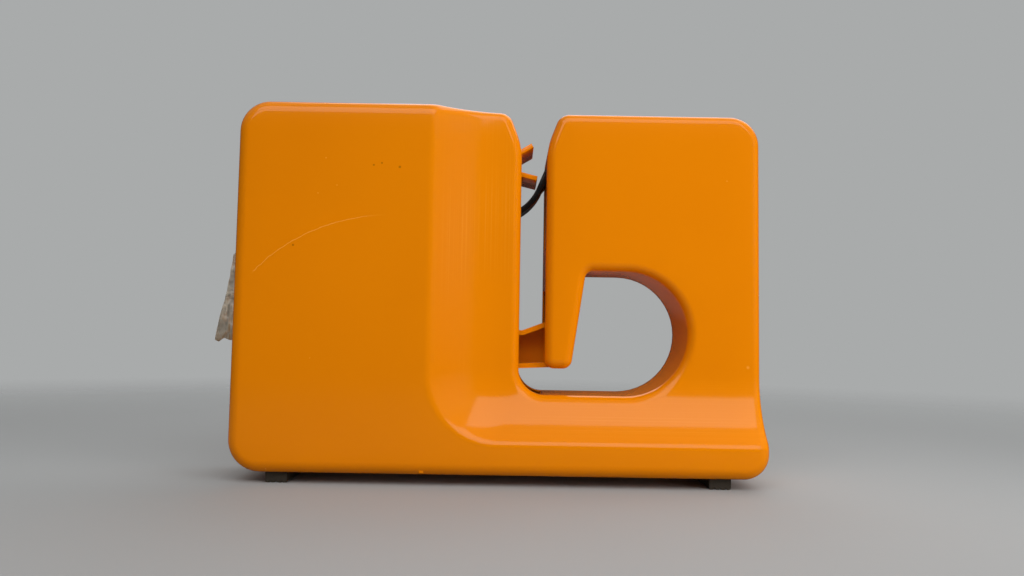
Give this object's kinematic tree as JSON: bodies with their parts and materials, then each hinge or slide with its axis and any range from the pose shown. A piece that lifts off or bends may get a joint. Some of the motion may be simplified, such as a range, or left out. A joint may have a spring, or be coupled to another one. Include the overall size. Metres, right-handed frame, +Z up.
{
  "type": "household bag sealer",
  "caption": "Standing bag sealer: tape roll behind a rear door, open-topped throat with star wheel, sprung guide finger and cutter lever, and a D-shaped hand hole.",
  "frame": {"origin": "on the table midway between the two feet and midway through the housing's depth", "axes": "+Z up, -Y towards the front face, +X towards the side with the hand hole"},
  "size_m": [0.2148, 0.045, 0.143],
  "materials": {
    "orange_abs": "glossy moulded ABS",
    "black_acetal": "moulded acetal",
    "zinc_steel": "zinc-plated steel",
    "spring_steel": "bright spring steel",
    "core_board": "wound card",
    "clear_tape": "clear adhesive film",
    "foot_rubber": "moulded rubber"
  },
  "bodies": {
    "housing": {"front_shell": "orange_abs", "back_shell": "orange_abs", "housing_screws": "zinc_steel", "door_hinge_pins": "zinc_steel", "roll_spindle": "zinc_steel", "drag_washer": "black_acetal", "tape_web": "clear_tape", "tape_tail": "clear_tape", "roller_pin": "zinc_steel", "star_axle": "zinc_steel", "finger_pin": "zinc_steel", "finger_spring": "spring_steel", "lever_pin": "zinc_steel", "foot_left": "foot_rubber", "foot_right": "foot_rubber"},
    "door": {"roll_door": "orange_abs"},
    "roll": {"roll_hub": "black_acetal", "tape_core": "core_board", "tape_roll": "clear_tape"},
    "roller": {"guide_roller": "black_acetal"},
    "star": {"star_wheel": "orange_abs"},
    "finger": {"guide_finger": "black_acetal"},
    "lever": {"cutter_lever": "orange_abs", "lever_spring": "spring_steel", "cutter_blade": "spring_steel", "blade_rivets": "zinc_steel"}
  },
  "joints": [
    {"name": "door_hinge", "type": "hinge", "parent": "housing", "child": "door", "pos_m": [-0.025, 0.0205, 0.0735], "axis": [0, 0, -1], "range_deg": [0, 90]},
    {"name": "roll_spin", "type": "hinge", "parent": "housing", "child": "roll", "pos_m": [-0.062, 0.00625, 0.0735], "axis": [0, 1, 0], "continuous": true},
    {"name": "roller_spin", "type": "hinge", "parent": "housing", "child": "roller", "pos_m": [-0.0215, 0.00625, 0.0924], "axis": [0, 1, 0], "continuous": true},
    {"name": "star_spin", "type": "hinge", "parent": "housing", "child": "star", "pos_m": [-0.0038, 0.00625, 0.1224], "axis": [0, 1, 0], "continuous": true},
    {"name": "finger_swing", "type": "hinge", "parent": "housing", "child": "finger", "pos_m": [0.02215, 0.00625, 0.121], "axis": [0, -1, 0], "range_deg": [0, 55], "stiffness_Nm_per_rad": 0.02, "springref_deg": -28.65},
    {"name": "lever_swing", "type": "hinge", "parent": "housing", "child": "lever", "pos_m": [-0.00125, 0.00625, 0.054], "axis": [0, 1, 0], "range_deg": [0, 72], "stiffness_Nm_per_rad": 0.04, "springref_deg": -34.38}
  ],
  "couplings": [
    {"joint": "roller_spin", "follows": "roll_spin", "ratio": -5.065}
  ]
}
